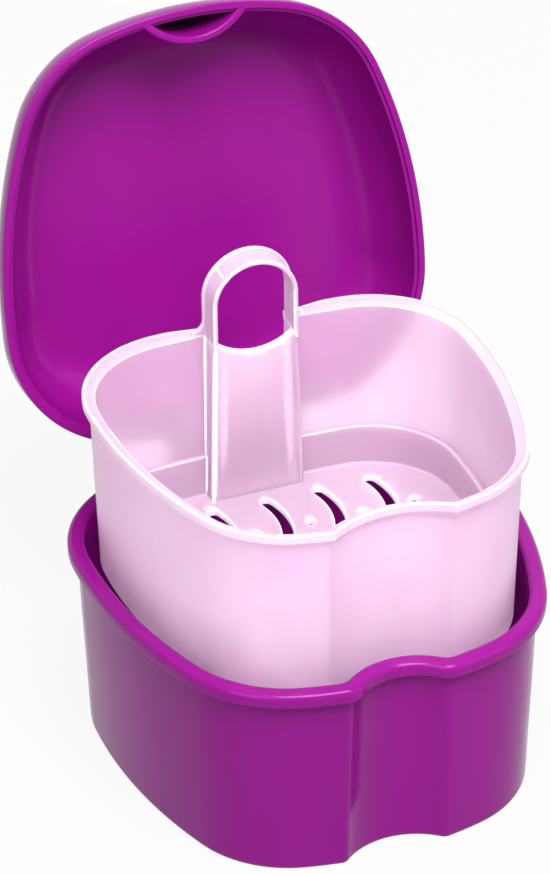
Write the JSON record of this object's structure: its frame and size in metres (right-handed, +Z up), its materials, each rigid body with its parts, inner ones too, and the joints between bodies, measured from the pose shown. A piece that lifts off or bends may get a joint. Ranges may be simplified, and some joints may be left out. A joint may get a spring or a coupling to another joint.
{
  "type": "denture case",
  "caption": "Hinged denture soaking case: a cup with a thumb notch, a domed lid and a lift-out draining basket with a finger loop.",
  "frame": {"origin": "middle of the flat face the case stands on, halfway across its width and halfway between the crown of its front and the back edge of its lip", "axes": "+Z up, the thumb notch faces -Y, the hinge is at +Y, +X across the width"},
  "size_m": [0.0926, 0.128, 0.1375],
  "materials": {
    "purple_shell": "polished purple polypropylene, glossy inside and out",
    "frosted_basket": "frosted translucent natural polypropylene, faintly milky"
  },
  "bodies": {
    "cup_body": {"cup": "purple_shell"},
    "lid_body": {"lid": "purple_shell"},
    "basket_body": {"basket": "frosted_basket"}
  },
  "joints": [
    {"name": "lid_hinge", "type": "hinge", "parent": "cup_body", "child": "lid_body", "pos_m": [0, 0.04845, 0.0453], "axis": [1, 0, 0], "range_deg": [0, 101]},
    {"name": "basket_lift", "type": "slide", "parent": "cup_body", "child": "basket_body", "axis": [0, 0, 1], "range_m": [-0.0368, 0]}
  ],
  "couplings": [
    {"joint": "basket_lift", "follows": "lid_hinge", "m_per_rad": -0.020876}
  ]
}
